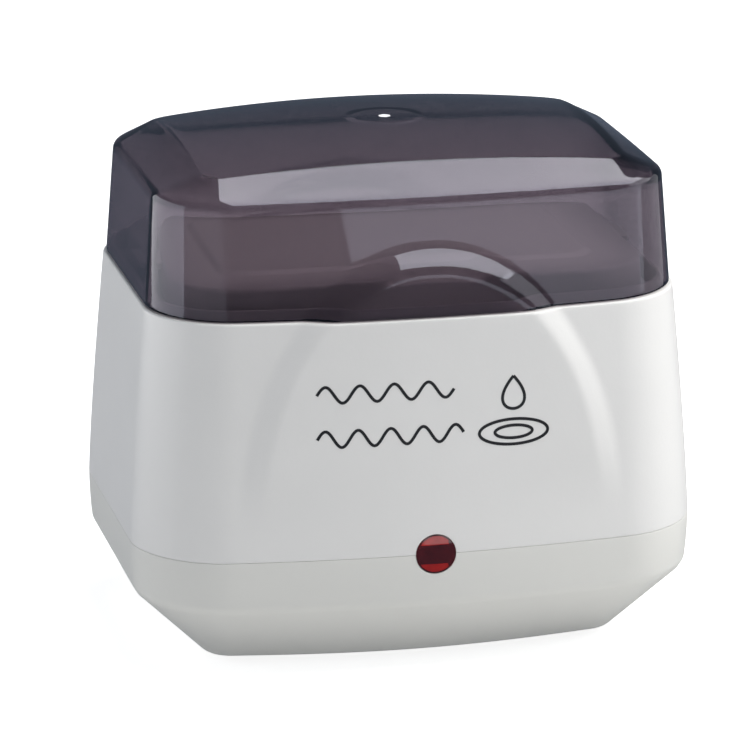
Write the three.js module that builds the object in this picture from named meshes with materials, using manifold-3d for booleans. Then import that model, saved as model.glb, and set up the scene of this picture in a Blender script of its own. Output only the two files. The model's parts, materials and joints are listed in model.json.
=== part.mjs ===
// A one-litre yogurt maker: a white two-part body with a heated well, a food tub with its own lid,
// and a smoked lift-off cover.
// Millimetres. +X is to the right, the front faces -Y, +Z is up, and the feet stand on z = 0.
// The origin is under the middle of the body. Front and back have the same shape.

import * as THREE from "three";
import { mergeVertices } from "three/addons/utils/BufferGeometryUtils.js";
import Module from "manifold-3d";

const wasm = await Module();
wasm.setup();

// ---------------------------------------------------------------- driving dimensions

const HALF_WIDTH = 90; // the body is widest at the seam between its two shells
const HALF_DEPTH = 63.7; // of the flat walls at the seam, without the bow of the front
const FRONT_BOW = 7.8; // how far the front bows out in the middle, at the seam
const BOW_POWER = 1.2;
const WALL_BOW = 7.4; // bow at the housing's top edge
const FOOT_STAND = 1.5; // the feet hold the base shell this far off the table

const Z_BASE = FOOT_STAND;
const Z_CHAMFER = Z_BASE + 23.4; // top of the 45 degree chamfer round the base
const Z_SEAM = Z_BASE + 39.5;
const Z_LEDGE = Z_BASE + 114.2; // the housing's top edge, which the cover stands on
const Z_SHOULDER = Z_BASE + 150.1; // where the cover's walls meet its bevelled roof
const Z_ROOF = Z_BASE + 155; // corners of the roof's top panel
const CROWN_X = 4; // rise of the top panel along X
const CROWN_Y = 3.8; // and along Y

const WALL = 2.2; // thickness of the shells and the cover
const GAP = 0.3; // between pieces that touch
const CORNER_STEPS = 6; // flats in each rounded corner

// Plan sizes at each level: half width, half depth of the walls, corner radius, bow of the front
const PLAN_BOTTOM = { a: 65.7, b: 39.6, r: 7, bow: 7.4 };
const PLAN_CHAMFER = { a: 89.2, b: 62.7, r: 26.6, bow: 7.7 };
const PLAN_SEAM = { a: HALF_WIDTH, b: HALF_DEPTH, r: 26.9, bow: FRONT_BOW };
const PLAN_LEDGE = { a: 84.6, b: 58.5, r: 24.3, bow: WALL_BOW };
const PLAN_SHOULDER = { a: 81.3, b: 53.1, r: 21.3, bow: 5.4 };
const COVER_SETBACK = 0.8; // the cover stands this far inside the housing's edge
const ROOF_PANEL = { a: 67.7, b: 43.2, r: 12, bow: 2.8 };
const WALL_SWEEP = 1.25; // above 1, the housing's walls start upright at the seam and lean in higher up

// The raised arch: half a superellipse that stands on the seam, and a panel that closes it
const ARCH = { halfWidth: 61.5, height: 96, power: 2.1, band: 7 };
const ARCH_FADE = [5, 30]; // heights above the seam between which the arch grows out of the bow
const PANEL_AT_SEAM = 71.5; // the panel's distance from the middle of the body
const PANEL_LEAN = 0.0387; // and how much closer it comes for each millimetre of height
const PANEL_CURVE = 0.0008; // curvature of the panel across its width

// The heated well and the tub that stands in it
const WELL = { topA: 70.5, topB: 48.5, floorA: 66, floorB: 44.5, r: 18, wall: 2 };
const Z_WELL_FLOOR = Z_BASE + 24; // underside of the well's floor
const TUB = { topA: 66, topB: 45, floorA: 62, floorB: 41, r: 16, wall: 2 };
const Z_TUB_RIM = Z_BASE + 117;
const TUB_RIM = { a: 73.5, b: 50, r: 22, thickness: 2 };
const LID = { a: 76, b: 52.3, r: 24, wall: 1.5, skirt: 10, thickness: 2 };
const Z_LID = Z_BASE + 122.5;

const LENS_RADIUS = 6.25;
const SCREW_X = 42;
const SCREW_Y = 18;
const FOOT_X = 54;
const FOOT_Y = 28;
const FOOT_RADIUS = 6;
const Z_INLET = Z_BASE + 30.6;

// ---------------------------------------------------------------- materials

const finish = (color, roughness, metalness = 0) =>
  new THREE.MeshStandardMaterial({ color, roughness, metalness });
const WHITE = finish(0xeceeed, 0.28);
const WELL_WHITE = finish(0xe6e7e4, 0.4);
const SMOKED = finish(0x4e4855, 0.08);
const TUB_WHITE = finish(0xdfdfdb, 0.35);
const RED_LENS = finish(0x9c1414, 0.12);
const GLASS = finish(0xd8c9b4, 0.05);
const ALUMINIUM = finish(0xb9bcbf, 0.35, 1);
const STEEL = finish(0x9a9da1, 0.3, 1);
const BRASS = finish(0xc2a15a, 0.3, 1);
const RUBBER = finish(0x2b2b2c, 0.85);
const SILICONE = finish(0xd9d9d4, 0.7);
const CERAMIC = finish(0xb08a5a, 0.7);
const MICA = finish(0xc9b98c, 0.6);
const BLACK_PLASTIC = finish(0x1d1d1f, 0.45);
const RESISTOR = finish(0xc7b08a, 0.5);
const LIVE = finish(0x6b3f24, 0.5);
const NEUTRAL = finish(0x2c4f9a, 0.5);
const SLEEVE = finish(0xcfcac0, 0.8);
const PLATE_SILVER = finish(0xb4b6b8, 0.5);

// ---------------------------------------------------------------- solids

// A closed three.js geometry as a manifold solid.
function solidOf(geometry) {
  const bare = new THREE.BufferGeometry();
  bare.setAttribute("position", geometry.getAttribute("position"));
  bare.setIndex(geometry.index);
  const merged = mergeVertices(bare, 1e-4);
  const triVerts = new Uint32Array(merged.index.array);
  const vertProperties = merged.attributes.position.array;
  return new wasm.Manifold(new wasm.Mesh({ numProp: 3, vertProperties, triVerts }));
}

// A manifold solid as a three.js geometry.
function geometryOf(solid) {
  const mesh = solid.getMesh();
  const geometry = new THREE.BufferGeometry();
  geometry.setAttribute("position", new THREE.BufferAttribute(new Float32Array(mesh.vertProperties), 3));
  geometry.setIndex(new THREE.BufferAttribute(new Uint32Array(mesh.triVerts), 1));
  geometry.computeVertexNormals();
  return geometry;
}

// A solid skinned over rings of [x, y, z] points, from the lowest to the highest. Every ring runs
// counter-clockwise seen from above, has the same number of points and is star-shaped round the Z axis.
function loft(rings) {
  const count = rings[0].length;
  const vertices = rings.flat();
  const faces = [];
  for (let level = 0; level < rings.length - 1; level++) {
    for (let i = 0; i < count; i++) {
      const here = level * count + i;
      const next = level * count + ((i + 1) % count);
      faces.push(here, next, next + count, here, next + count, here + count);
    }
  }
  const capHeight = (ring) => ring.reduce((sum, point) => sum + point[2], 0) / count;
  const bottom = vertices.push([0, 0, capHeight(rings[0])]) - 1;
  const top = vertices.push([0, 0, rings.top ?? capHeight(rings.at(-1))]) - 1;
  const last = (rings.length - 1) * count;
  for (let i = 0; i < count; i++) {
    faces.push(bottom, (i + 1) % count, i);
    faces.push(top, last + i, last + ((i + 1) % count));
  }
  const geometry = new THREE.BufferGeometry();
  geometry.setAttribute("position", new THREE.Float32BufferAttribute(vertices.flat(), 3));
  geometry.setIndex(faces);
  return solidOf(geometry);
}

// A box given by its lowest and highest corners.
function block(x0, x1, y0, y1, z0, z1) {
  const geometry = new THREE.BoxGeometry(x1 - x0, y1 - y0, z1 - z0);
  return solidOf(geometry.translate((x0 + x1) / 2, (y0 + y1) / 2, (z0 + z1) / 2));
}

// An upright cylinder between two heights.
function post(radius, x, y, z0, z1, sides = 16) {
  const geometry = new THREE.CylinderGeometry(radius, radius, z1 - z0, sides);
  return solidOf(geometry.rotateX(Math.PI / 2).translate(x, y, (z0 + z1) / 2));
}

// A turned solid whose axis runs along Y through (x, z). The profile lists [radius, y] pairs, from the
// front to the back, and starts and ends on the axis.
function turnedAlongY(profile, x, z, sides = 24) {
  const points = profile.map(([radius, y]) => new THREE.Vector2(radius, y));
  return solidOf(new THREE.LatheGeometry(points, sides).translate(x, 0, z));
}

// A lathe's axis is Y already, so an axial cylinder along Y is the simplest turned solid.
const rodAlongY = (radius, x, z, y0, y1, sides = 16) =>
  turnedAlongY([[0, y0], [radius, y0], [radius, y1], [0, y1]], x, z, sides);

// A bar along X.
function rodAlongX(radius, y, z, x0, x1, sides = 12) {
  const geometry = new THREE.CylinderGeometry(radius, radius, x1 - x0, sides);
  return solidOf(geometry.rotateZ(Math.PI / 2).translate((x0 + x1) / 2, y, z));
}

const WIRE_SIDES = 8;

// A wire of round section along a smooth curve through the points.
function wire(radius, points) {
  const path = new THREE.CatmullRomCurve3(points.map((point) => new THREE.Vector3(...point)));
  const section = new THREE.Shape().absarc(0, 0, radius, 0, 2 * Math.PI);
  const steps = points.length * 3;
  return solidOf(new THREE.ExtrudeGeometry(section, {
    steps,
    extrudePath: path,
    curveSegments: WIRE_SIDES / 2,
    bevelEnabled: false,
  }));
}

// ---------------------------------------------------------------- the body's outer form

const mix = (from, to, t) => from + (to - from) * t;
const clamp01 = (t) => Math.min(1, Math.max(0, t));
const smooth = (t) => clamp01(t) ** 2 * (3 - 2 * clamp01(t));

function mixPlans(from, to, t) {
  const plan = {};
  for (const key of ["a", "b", "r", "bow"]) plan[key] = mix(from[key], to[key], t);
  return plan;
}

// The body's plan at a height. The cover starts a little inside the housing's top edge.
function planAt(z, isCover) {
  if (isCover) {
    const rim = { ...PLAN_LEDGE, a: PLAN_LEDGE.a - COVER_SETBACK, b: PLAN_LEDGE.b - COVER_SETBACK };
    return mixPlans(rim, PLAN_SHOULDER, (z - Z_LEDGE) / (Z_SHOULDER - Z_LEDGE));
  }
  if (z < Z_CHAMFER) return mixPlans(PLAN_BOTTOM, PLAN_CHAMFER, (z - Z_BASE) / (Z_CHAMFER - Z_BASE));
  if (z < Z_SEAM) {
    const t = (z - Z_CHAMFER) / (Z_SEAM - Z_CHAMFER);
    return mixPlans(PLAN_CHAMFER, PLAN_SEAM, 1 - (1 - t) ** 2);
  }
  const t = (z - Z_SEAM) / (Z_LEDGE - Z_SEAM);
  return mixPlans(PLAN_SEAM, PLAN_LEDGE, t ** WALL_SWEEP);
}

const archGrowth = (z) => smooth((z - Z_SEAM - ARCH_FADE[0]) / (ARCH_FADE[1] - ARCH_FADE[0]));

// Half width of the arch's outline at a height, with the outline moved inwards by offset.
function archHalfWidth(z, offset) {
  const height = Math.max(0, z - Z_SEAM) / (ARCH.height - offset);
  if (height >= 1) return 0;
  return (ARCH.halfWidth - offset) * (1 - height ** ARCH.power) ** (1 / ARCH.power);
}

// 1 on the arch's panel, 0 outside the arch, and a straight slope across the band between them.
function archRise(x, z, offset) {
  const width = ARCH.halfWidth - offset;
  const height = ARCH.height - offset;
  const up = Math.max(0, z - Z_SEAM);
  const rho = ((x / width) ** ARCH.power + (up / height) ** ARCH.power) ** (1 / ARCH.power);
  const inside = Math.hypot(x, up) * (1 / Math.max(rho, 1e-6) - 1);
  return clamp01(inside / ARCH.band);
}

// Distance of the front (or back) from the middle plane, at a place on it.
function frontDepth(x, z, plan, inset, setback) {
  const bow = plan.bow * Math.max(0, 1 - (x / plan.a) ** 2) ** BOW_POWER;
  const wall = plan.b + bow;
  const panel = PANEL_AT_SEAM - PANEL_LEAN * (z - Z_SEAM) - PANEL_CURVE * x ** 2 - setback;
  const rise = archGrowth(z) * archRise(x, z, 0.6 * inset);
  return wall + rise * Math.max(0, panel - wall) - inset;
}

// Where the front's points stand at a height, from the middle to the start of the corner. They follow
// the two edges of the arch, and spread out above it.
function frontStations(z, flat, inset) {
  const leastHalf = 1.2;
  const above = clamp01((z - Z_SEAM - ARCH.height) / (Z_SHOULDER - Z_SEAM - ARCH.height));
  const inner = Math.max(archHalfWidth(z, ARCH.band + 0.6 * inset), mix(leastHalf, flat * 0.4, above));
  const outer = Math.max(archHalfWidth(z, 0.6 * inset), mix(2 * leastHalf, flat * 0.6, above));
  const end = Math.min(outer, flat - 1);
  const start = Math.min(inner, end - 1);
  const middle = (start + end) / 2;
  return [0, start * 0.4, start * 0.75, start, middle, end, (end + flat) / 2, flat];
}

// A full ring from the points of its front right quarter, given as [x, distance from the middle plane].
function mirrored(quarter, heightAt) {
  const back = quarter.slice().reverse();
  const ring = [
    ...quarter.map(([x, y]) => [x, -y]),
    ...back.map(([x, y]) => [x, y]),
    ...quarter.slice(1).map(([x, y]) => [-x, y]),
    ...back.slice(0, -1).map(([x, y]) => [-x, -y]),
  ];
  return ring.map(([x, y]) => [x, y, heightAt(x, y)]);
}

// One level of the body's form, moved inwards by inset. It may be drawn at another height than its own.
function bodyRing(z, inset = 0, isCover = false, drawnAt = z) {
  const plan = planAt(z, isCover);
  const a = plan.a - inset;
  const b = plan.b - inset;
  const r = Math.max(plan.r - inset, 2);
  const setback = isCover ? COVER_SETBACK : 0;
  const quarter = frontStations(z, a - r, inset).map((x) => [x, frontDepth(x, z, plan, inset, setback)]);
  for (let i = 1; i <= CORNER_STEPS; i++) {
    const turn = ((i / CORNER_STEPS) * Math.PI) / 2;
    const x = a - r + r * Math.sin(turn);
    const bow = plan.bow * Math.max(0, 1 - (x / plan.a) ** 2) ** BOW_POWER;
    quarter.push([x, b - r + r * Math.cos(turn) + bow]);
  }
  return mirrored(quarter, () => drawnAt);
}

// A solid of the body's form between two heights, with rings at the heights listed.
const bodyForm = (heights, inset = 0, isCover = false) =>
  loft(heights.map((z) => bodyRing(z, inset, isCover)));

// The body's form at one height, drawn straight up between two heights.
const bodySlab = (z, inset, z0, z1, isCover = false) =>
  loft([bodyRing(z, inset, isCover, z0), bodyRing(z, inset, isCover, z1)]);

// Rounded rectangle, as a ring at a height.
function rectRing(a, b, r, z) {
  const quarter = [[0, b]];
  for (let i = 0; i <= CORNER_STEPS; i++) {
    const turn = ((i / CORNER_STEPS) * Math.PI) / 2;
    quarter.push([a - r + r * Math.sin(turn), b - r + r * Math.cos(turn)]);
  }
  return mirrored(quarter, () => z);
}

const rectSlab = (a, b, r, z0, z1) => loft([rectRing(a, b, r, z0), rectRing(a, b, r, z1)]);

// ---------------------------------------------------------------- lower shell

const FLOOR = 2.5; // thickness of the base shell's floor
const BOSS_TOP = Z_BASE + 11.7;
const SCREW_HEAD = { radius: 3.2, height: 2 };
const SCREW_SHANK = 1.5;
const HEAD_SEAT = Z_BASE + 5; // the screw heads sit against this level
const BORE = SCREW_SHANK + GAP + 0.05;
const FOUR_CORNERS = [[-1, -1], [1, -1], [-1, 1], [1, 1]];
const INLET_HOLE = { a: 9, b: 5.6 };
const PLATE_HALF = [20, 11];
const LAMP_POST_TOP = Z_BASE + 32;

const LENS = { rim: -71, crown: -71.9, flangeFront: -68.9, flangeBack: -67.7, flangeRadius: 8 };

// The lens's hole through the front wall, and the room behind it for the lens's flange.
function lensHole() {
  const through = rodAlongY(LENS_RADIUS + GAP, 0, Z_SEAM, -PANEL_AT_SEAM - 2, LENS.flangeBack, 24);
  const room = rodAlongY(LENS.flangeRadius + GAP, 0, Z_SEAM, LENS.flangeFront - GAP, LENS.flangeBack + 5, 24);
  return through.add(room);
}

function baseShell() {
  const top = Z_SEAM - GAP / 2;
  const outer = bodyForm([Z_BASE, Z_CHAMFER - 1.5, Z_CHAMFER + 1, Z_CHAMFER + 7, top]);
  const innerFloor = bodyRing(Z_BASE, WALL, false, Z_BASE + FLOOR);
  const rest = [Z_CHAMFER, Z_CHAMFER + 7, top, top + 1].map((z) => bodyRing(z, WALL));
  let shell = outer.subtract(loft([innerFloor, ...rest]));
  // a low tongue that locates the housing
  const tongueInset = WALL + 2 * GAP; // clear of the housing, whose wall leans in
  const tongueBack = tongueInset + 1.2;
  const tongue = bodySlab(Z_SEAM, tongueInset, top - 3, top + 1.3).subtract(
    bodySlab(Z_SEAM, tongueBack, top - 4, top + 3),
  );
  const bridge = bodySlab(Z_SEAM, WALL - 0.2, top - 3, top - 1.5).subtract(
    bodySlab(Z_SEAM, tongueBack, top - 4, top),
  );
  shell = shell.add(tongue).add(bridge.intersect(outer));
  for (const [sx, sy] of FOUR_CORNERS) {
    shell = shell.add(post(5.4, sx * SCREW_X, sy * SCREW_Y, Z_BASE, BOSS_TOP));
    shell = shell.subtract(post(SCREW_HEAD.radius + 0.4, sx * SCREW_X, sy * SCREW_Y, 0, HEAD_SEAT));
    shell = shell.subtract(post(BORE, sx * SCREW_X, sy * SCREW_Y, 0, BOSS_TOP + 1, 12));
    shell = shell.subtract(post(FOOT_RADIUS + GAP, sx * FOOT_X, sy * FOOT_Y, 0, Z_BASE + 1.3, 20));
  }
  shell = shell.add(block(-4, 4, -60, -52, Z_BASE + 6, LAMP_POST_TOP).intersect(outer));
  const { a, b } = INLET_HOLE;
  const inletHole = block(-a, a, PANEL_AT_SEAM - 11, PANEL_AT_SEAM + 1, Z_INLET - b, Z_INLET + b);
  const [labelA, labelB] = PLATE_HALF;
  const labelRecess = block(-labelA - 0.5, labelA + 0.5, -labelB - 0.5, labelB + 0.5, 0, Z_BASE + 0.8);
  return shell.subtract(inletHole).subtract(lensHole()).subtract(labelRecess);
}

const baseScrew = (x, y) =>
  post(SCREW_HEAD.radius, x, y, HEAD_SEAT - GAP - SCREW_HEAD.height, HEAD_SEAT - GAP, 12).add(
    post(SCREW_SHANK, x, y, HEAD_SEAT - GAP - 0.5, Z_BASE + 19, 12),
  );

const foot = (x, y) => post(FOOT_RADIUS, x, y, 0, Z_BASE + 1, 20);

function ratingPlate() {
  const [a, b] = PLATE_HALF;
  return block(-a, a, -b, b, Z_BASE + 0.1, Z_BASE + 0.5);
}

// ---------------------------------------------------------------- upper shell

const LIP_INSET = WALL + 0.4; // the lip on the top edge stands just inside the cover
const LIP_BACK = LIP_INSET + 1.5;
const LIP_HEIGHT = 3.3;
const RAIL_INSET = COVER_SETBACK + LIP_BACK; // the housing's top edge is this wide
const THROAT_INSET = 9; // the ledge under the well's flange reaches in this far
const Z_THROAT = [Z_LEDGE - 7.7, Z_LEDGE - 5.2];

// The outer wall with its arch, a top edge with a lip on it, and a ledge inside for the well's flange.
function housing() {
  const bottom = Z_SEAM + GAP / 2;
  const rise = [12, 20, 28, 38, 48, 58, 68].map((up) => Z_SEAM + up);
  const outer = bodyForm([bottom, ...rise, Z_LEDGE]);
  const lipTop = Z_LEDGE + LIP_HEIGHT;
  const lip = loft([bodyRing(Z_LEDGE, LIP_INSET, true, Z_LEDGE - 1), bodyRing(lipTop, LIP_INSET, true)]);
  const cavityHeights = [...rise.slice(0, -1), Z_THROAT[0]];
  const cavity = loft([
    bodyRing(bottom, WALL, false, bottom - 1),
    ...cavityHeights.map((z) => bodyRing(z, WALL)),
  ]);
  const throat = bodySlab(Z_LEDGE, THROAT_INSET, Z_THROAT[0] - 1, Z_THROAT[1] + 1);
  const pocket = loft([
    bodyRing(Z_LEDGE, LIP_BACK, true, Z_THROAT[1]),
    bodyRing(Z_LEDGE, LIP_BACK, true),
    bodyRing(lipTop, LIP_BACK, true, lipTop + 1),
  ]);
  return outer.add(lip).subtract(cavity).subtract(throat).subtract(pocket).subtract(lensHole());
}

// ---------------------------------------------------------------- heated well

const PILLAR_RADIUS = 4;

function wellLiner() {
  const flangeBottom = Z_THROAT[1] + GAP;
  const flangeTop = flangeBottom + WELL.wall;
  const flange = bodySlab(Z_LEDGE + LIP_HEIGHT, LIP_BACK + GAP, flangeBottom, flangeTop, true);
  const pocket = loft([
    rectRing(WELL.floorA, WELL.floorB, WELL.r, Z_WELL_FLOOR),
    rectRing(WELL.topA, WELL.topB, WELL.r, flangeBottom + 0.5),
  ]);
  const { wall } = WELL;
  const hollow = loft([
    rectRing(WELL.floorA - wall, WELL.floorB - wall, WELL.r - wall, Z_WELL_FLOOR + wall),
    rectRing(WELL.topA - wall, WELL.topB - wall, WELL.r - wall, flangeTop + 1),
  ]);
  let liner = flange.add(pocket).subtract(hollow);
  for (const [sx, sy] of FOUR_CORNERS) {
    liner = liner.add(post(PILLAR_RADIUS, sx * SCREW_X, sy * SCREW_Y, BOSS_TOP + GAP, Z_WELL_FLOOR + 1));
    liner = liner.subtract(post(BORE, sx * SCREW_X, sy * SCREW_Y, BOSS_TOP - 1, Z_BASE + 21, 12));
  }
  return liner;
}

// ---------------------------------------------------------------- heater, stacked under the well's floor

const PLATE = { a: 34, b: 30, thickness: 1.5 };
const HEATER = { a: 12, b: 7.5, thickness: 2.5 };
const PAD_THICKNESS = 0.8;
const STRAP = { halfWidth: 5, thickness: 1, reach: 24 };
const Z_PLATE = Z_WELL_FLOOR - GAP - PLATE.thickness; // underside of the plate
const Z_HEATER = Z_PLATE - GAP - HEATER.thickness;
const Z_PAD = Z_HEATER - GAP - PAD_THICKNESS;
const Z_STRAP = Z_PAD - GAP - STRAP.thickness;
const CLAMP_SCREW_X = 20;

const heatingPlate = () => rectSlab(PLATE.a, PLATE.b, 4, Z_PLATE, Z_PLATE + PLATE.thickness);
const ptcHeater = () => block(-HEATER.a, HEATER.a, -HEATER.b, HEATER.b, Z_HEATER, Z_HEATER + HEATER.thickness);
const insulationPad = () =>
  block(-HEATER.a - 1, HEATER.a + 1, -HEATER.b - 1, HEATER.b + 1, Z_PAD, Z_PAD + PAD_THICKNESS);

// A flat strap under the element, with a raised foot at each end for its screw.
function heaterClamp() {
  const { halfWidth, thickness, reach } = STRAP;
  const footTop = Z_PLATE - GAP;
  let strap = block(-16, 16, -halfWidth, halfWidth, Z_STRAP, Z_STRAP + thickness);
  for (const side of [-1, 1]) {
    const [x0, x1] = [side * 15, side * 16].sort((p, q) => p - q);
    const [x2, x3] = [side * 15, side * reach].sort((p, q) => p - q);
    strap = strap.add(block(x0, x1, -halfWidth, halfWidth, Z_STRAP, footTop));
    strap = strap.add(block(x2, x3, -halfWidth, halfWidth, footTop - thickness, footTop));
    strap = strap.subtract(post(BORE, side * CLAMP_SCREW_X, 0, Z_STRAP - 1, footTop + 1, 12));
  }
  return strap;
}

// The clamp screws end in the strap's feet, just under the plate.
const clampScrew = (side) =>
  post(2.8, side * CLAMP_SCREW_X, 0, Z_PLATE - 2 * GAP - 2.6, Z_PLATE - 2 * GAP - 1).add(
    post(SCREW_SHANK, side * CLAMP_SCREW_X, 0, Z_PLATE - 2 * GAP - 1.2, Z_PLATE - GAP, 12),
  );

const FUSE = { y: 16, radius: 1.6, half: 6, z: Z_PLATE - GAP - 1.6 };
const thermalFuse = () => rodAlongX(FUSE.radius, FUSE.y, FUSE.z, -FUSE.half, FUSE.half);

// ---------------------------------------------------------------- lamp behind the lens

const LAMP = { front: -66.5, back: -55, radius: 2.6 };
const HOLDER = { half: 6, front: -63, back: -52, top: Z_SEAM + 5.5 };

// A domed disc through the wall, with a flange behind it.
function indicatorLens() {
  const profile = [[0, LENS.crown]];
  for (const [share, fall] of [[0.5, 0.2], [0.8, 0.55], [1, 1]]) {
    profile.push([LENS_RADIUS * share, mix(LENS.crown, LENS.rim, fall)]);
  }
  profile.push([LENS_RADIUS, LENS.flangeFront]);
  profile.push([LENS.flangeRadius, LENS.flangeFront]);
  profile.push([LENS.flangeRadius, LENS.flangeBack]);
  profile.push([0, LENS.flangeBack]);
  return turnedAlongY(profile, 0, Z_SEAM);
}

const neonLamp = () =>
  turnedAlongY([[0, LAMP.front], [1.6, LAMP.front + 0.6], [LAMP.radius, LAMP.front + 2],
    [LAMP.radius, LAMP.back], [0, LAMP.back]], 0, Z_SEAM, 12);

function lampHolder() {
  const { half, front, back, top } = HOLDER;
  const body = block(-half, half, front, back, LAMP_POST_TOP + GAP, top);
  return body.subtract(rodAlongY(LAMP.radius + GAP, 0, Z_SEAM, front - 1, back + 1, 12));
}

const RESISTOR_AT = { y: -49.4, z: Z_SEAM, radius: 1.5, half: 4 };
const lampResistor = () =>
  rodAlongX(RESISTOR_AT.radius, RESISTOR_AT.y, RESISTOR_AT.z, -RESISTOR_AT.half, RESISTOR_AT.half);

// ---------------------------------------------------------------- mains inlet and wiring

const INLET = { mouth: PANEL_AT_SEAM - 0.8, back: PANEL_AT_SEAM - 20, recess: 14 };
const INLET_FLANGE = { front: PANEL_AT_SEAM - WALL - 1.6, thickness: 2, sideways: 2.5, upwards: 0.3 };
const PIN = { radius: 1.2, x: 4.3, tip: INLET.mouth - 5, back: INLET.mouth - 17 };

// A two-pin socket: a box whose mouth is level with the back wall, and a flange behind the wall.
function inletSocket() {
  const a = INLET_HOLE.a - GAP;
  const b = INLET_HOLE.b - GAP;
  const { front, thickness, sideways, upwards } = INLET_FLANGE;
  const [flangeA, flangeB] = [a + sideways, b + upwards];
  let socket = block(-a, a, INLET.back, INLET.mouth, Z_INLET - b, Z_INLET + b);
  socket = socket.add(block(-flangeA, flangeA, front - thickness, front, Z_INLET - flangeB, Z_INLET + flangeB));
  socket = socket.subtract(
    block(-a + 1, a - 1, INLET.mouth - INLET.recess, INLET.mouth + 1, Z_INLET - b + 1, Z_INLET + b - 1),
  );
  for (const side of [-1, 1]) {
    socket = socket.subtract(
      rodAlongY(PIN.radius + GAP, side * PIN.x, Z_INLET, INLET.back - 1, INLET.mouth, 12),
    );
  }
  return socket;
}

const inletPin = (side) => rodAlongY(PIN.radius, side * PIN.x, Z_INLET, PIN.back, PIN.tip, 12);

const TERMINAL = { a: 10, y0: 27, y1: 38, z0: Z_BASE + FLOOR + GAP, z1: Z_BASE + FLOOR + 9 };

// A three-way screw terminal block with its screw wells.
function terminalBlock() {
  let body = block(-TERMINAL.a, TERMINAL.a, TERMINAL.y0, TERMINAL.y1, TERMINAL.z0, TERMINAL.z1);
  for (const x of [-6.5, 0, 6.5]) {
    body = body.subtract(post(1.8, x, (TERMINAL.y0 + TERMINAL.y1) / 2, TERMINAL.z1 - 4, TERMINAL.z1 + 1, 12));
  }
  return body;
}

const LEAD_RADIUS = 1;

// From the terminal block to the element and the fuse, and from the element to the lamp.
const LEADS = {
  live_lead: [[-6, 25.6, Z_BASE + 7], [-12, 22, Z_BASE + 8], [-15, 17, Z_BASE + 14], [-8, 16, FUSE.z]],
  neutral_lead: [[6, 25.6, Z_BASE + 7], [17, 20, Z_BASE + 8.5], [20, 11, Z_BASE + 16],
    [13.6, 6.8, Z_HEATER + 1.2]],
  lamp_lead_left: [[-4, 25.6, Z_BASE + 5], [-28, 14, Z_BASE + 5], [-26, -20, Z_BASE + 6],
    [-11, -49.5, Z_BASE + 20], [-6.4, -50.4, Z_SEAM - 1]],
  lamp_lead_right: [[4, 25.6, Z_BASE + 5], [28, 12, Z_BASE + 5], [26, -22, Z_BASE + 6],
    [11, -49.5, Z_BASE + 20], [6.4, -50.4, Z_SEAM - 1]],
};

// ---------------------------------------------------------------- tub and its lid

function innerTub() {
  const floor = Z_WELL_FLOOR + WELL.wall + GAP;
  const { wall } = TUB;
  const outer = loft([
    rectRing(TUB.floorA - 3, TUB.floorB - 3, TUB.r - 3, floor),
    rectRing(TUB.floorA, TUB.floorB, TUB.r, floor + 3),
    rectRing(TUB.topA, TUB.topB, TUB.r, Z_TUB_RIM),
  ]);
  const rim = rectSlab(TUB_RIM.a, TUB_RIM.b, TUB_RIM.r, Z_TUB_RIM - TUB_RIM.thickness, Z_TUB_RIM);
  const hollow = loft([
    rectRing(TUB.floorA - 3 - wall, TUB.floorB - 3 - wall, TUB.r - 3 - wall, floor + wall),
    rectRing(TUB.floorA - wall, TUB.floorB - wall, TUB.r - wall, floor + wall + 3),
    rectRing(TUB.topA - wall, TUB.topB - wall, TUB.r - wall, Z_TUB_RIM + 1),
  ]);
  return outer.add(rim).subtract(hollow);
}

const GASKET = { a: 72.5, b: 49, r: 21, width: 3.5 };

function tubLidGasket() {
  const z0 = Z_TUB_RIM + GAP;
  const z1 = Z_LID - LID.thickness - GAP;
  return rectSlab(GASKET.a, GASKET.b, GASKET.r, z0, z1).subtract(
    rectSlab(GASKET.a - GASKET.width, GASKET.b - GASKET.width, GASKET.r - GASKET.width, z0 - 1, z1 + 1),
  );
}

const LID_PANEL = { inset: 16, rise: 1.2 };
const LID_EARS = { reach: 3, halfWidth: 9, r: 4, drop: 1, thickness: 2 };

// A skirted lid with a raised middle panel, and an ear at each end to lift it by.
function tubLid() {
  const skirtBottom = Z_LID - LID.skirt;
  const inner = Z_LID - LID.thickness;
  const panelTop = Z_LID + LID_PANEL.rise;
  const step = LID_PANEL.inset;
  const outer = loft([
    rectRing(LID.a, LID.b, LID.r, skirtBottom),
    rectRing(LID.a - 0.4, LID.b - 0.4, LID.r, Z_LID - 1),
    rectRing(LID.a - 1.4, LID.b - 1.4, LID.r - 1, Z_LID),
    rectRing(LID.a - step, LID.b - step, LID.r - step, Z_LID),
    rectRing(LID.a - step - 2, LID.b - step - 2, LID.r - step, panelTop),
  ]);
  const hollow = rectSlab(LID.a - LID.wall, LID.b - LID.wall, LID.r - LID.wall, skirtBottom - 1, inner);
  const underPanel = loft([
    rectRing(LID.a - step - 2, LID.b - step - 2, LID.r - step, inner - 1),
    rectRing(LID.a - step - 4, LID.b - step - 4, LID.r - step - 1, panelTop - LID.thickness),
  ]);
  const earTop = Z_LID - LID_EARS.drop;
  const earEnd = LID.a + LID_EARS.reach;
  const ears = rectSlab(earEnd, LID_EARS.halfWidth, LID_EARS.r, earTop - LID_EARS.thickness, earTop);
  return outer.add(ears).subtract(hollow).subtract(underPanel);
}

// ---------------------------------------------------------------- smoked cover

const COVER_GAP = 0.3; // between the cover's edge and the housing's top edge
const SHOULDER_ROUND = 1.3;

const crownHeight = (x, y) => {
  const depth = ROOF_PANEL.b + ROOF_PANEL.bow;
  return Z_ROOF + CROWN_X * (1 - (x / ROOF_PANEL.a) ** 2) + CROWN_Y * (1 - (y / depth) ** 2);
};

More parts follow.
